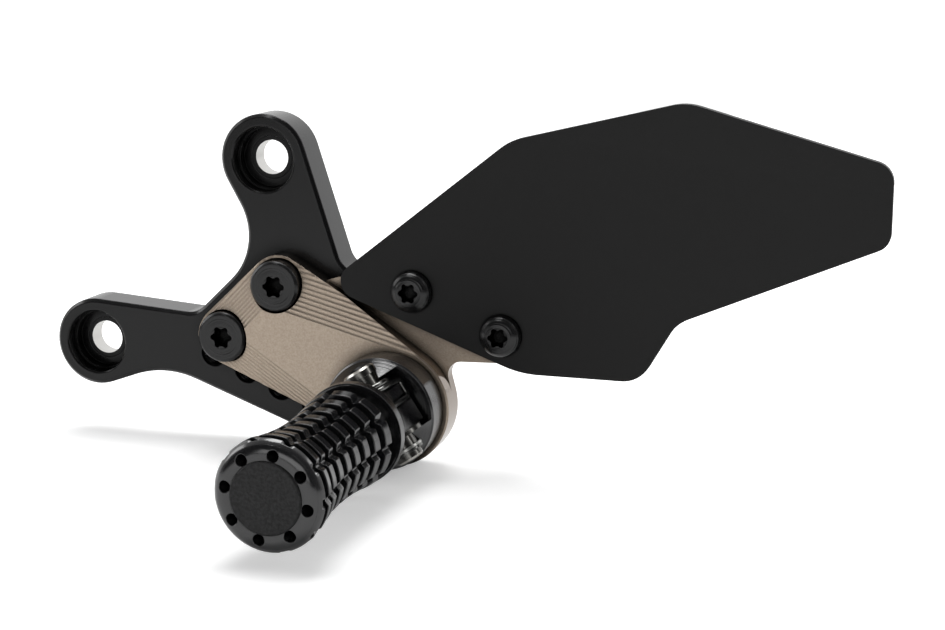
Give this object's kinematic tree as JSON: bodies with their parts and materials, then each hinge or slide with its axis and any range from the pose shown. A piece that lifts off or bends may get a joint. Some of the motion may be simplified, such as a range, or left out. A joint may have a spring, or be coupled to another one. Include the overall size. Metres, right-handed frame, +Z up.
{
  "type": "rear sets footrest",
  "caption": "Motorcycle rear set footrest: milled bracket for two frame bolts, stepped carrier plate, heel guard and a grooved peg that folds on a sprung hinge pin.",
  "frame": {"origin": "centre of the lower frame bolt's hole, on the bearing plane of the sleeves' flanges", "axes": "+X along the motorcycle to the heel guard's tip, +Y into the motorcycle frame, +Z up; the peg points along -Y"},
  "size_m": [0.209, 0.0958, 0.089],
  "materials": {
    "black_anodised": "black anodised, satin",
    "steel_sleeve": "turned, zinc plated",
    "gold_anodised": "pale gold anodised, milled facets",
    "black_screw": "black oxide steel",
    "black_guard": "black anodised sheet, satin",
    "zinc_steel": "zinc plated",
    "black_mount": "black anodised, turned",
    "nickel_pin": "bright nickel plated",
    "spring_steel": "bright spring steel",
    "black_peg": "black anodised, grooved",
    "textured_plug": "fine textured black"
  },
  "bodies": {
    "bracket": {"base_plate": "black_anodised", "frame_sleeves": "steel_sleeve", "carrier_plate": "gold_anodised", "carrier_screws": "black_screw", "heel_guard": "black_guard", "guard_screws": "black_screw", "guard_washers": "zinc_steel", "guard_nuts": "zinc_steel", "peg_mount": "black_mount", "mount_screw": "black_screw", "mount_dowel": "zinc_steel", "hinge_pin": "nickel_pin", "pin_washer": "zinc_steel", "pin_clip": "spring_steel"},
    "peg": {"peg_joint": "black_mount", "hinge_shim": "nickel_pin", "return_spring": "spring_steel", "peg_body": "black_peg", "peg_screw": "black_screw", "peg_end_plug": "textured_plug"}
  },
  "joints": [
    {"name": "peg_fold", "type": "hinge", "parent": "bracket", "child": "peg", "pos_m": [0.08544, -0.033, -0.00697], "axis": [-0.5446, 0, 0.8387], "range_deg": [0, 70], "stiffness_Nm_per_rad": 0.15, "springref_deg": -20.05}
  ]
}
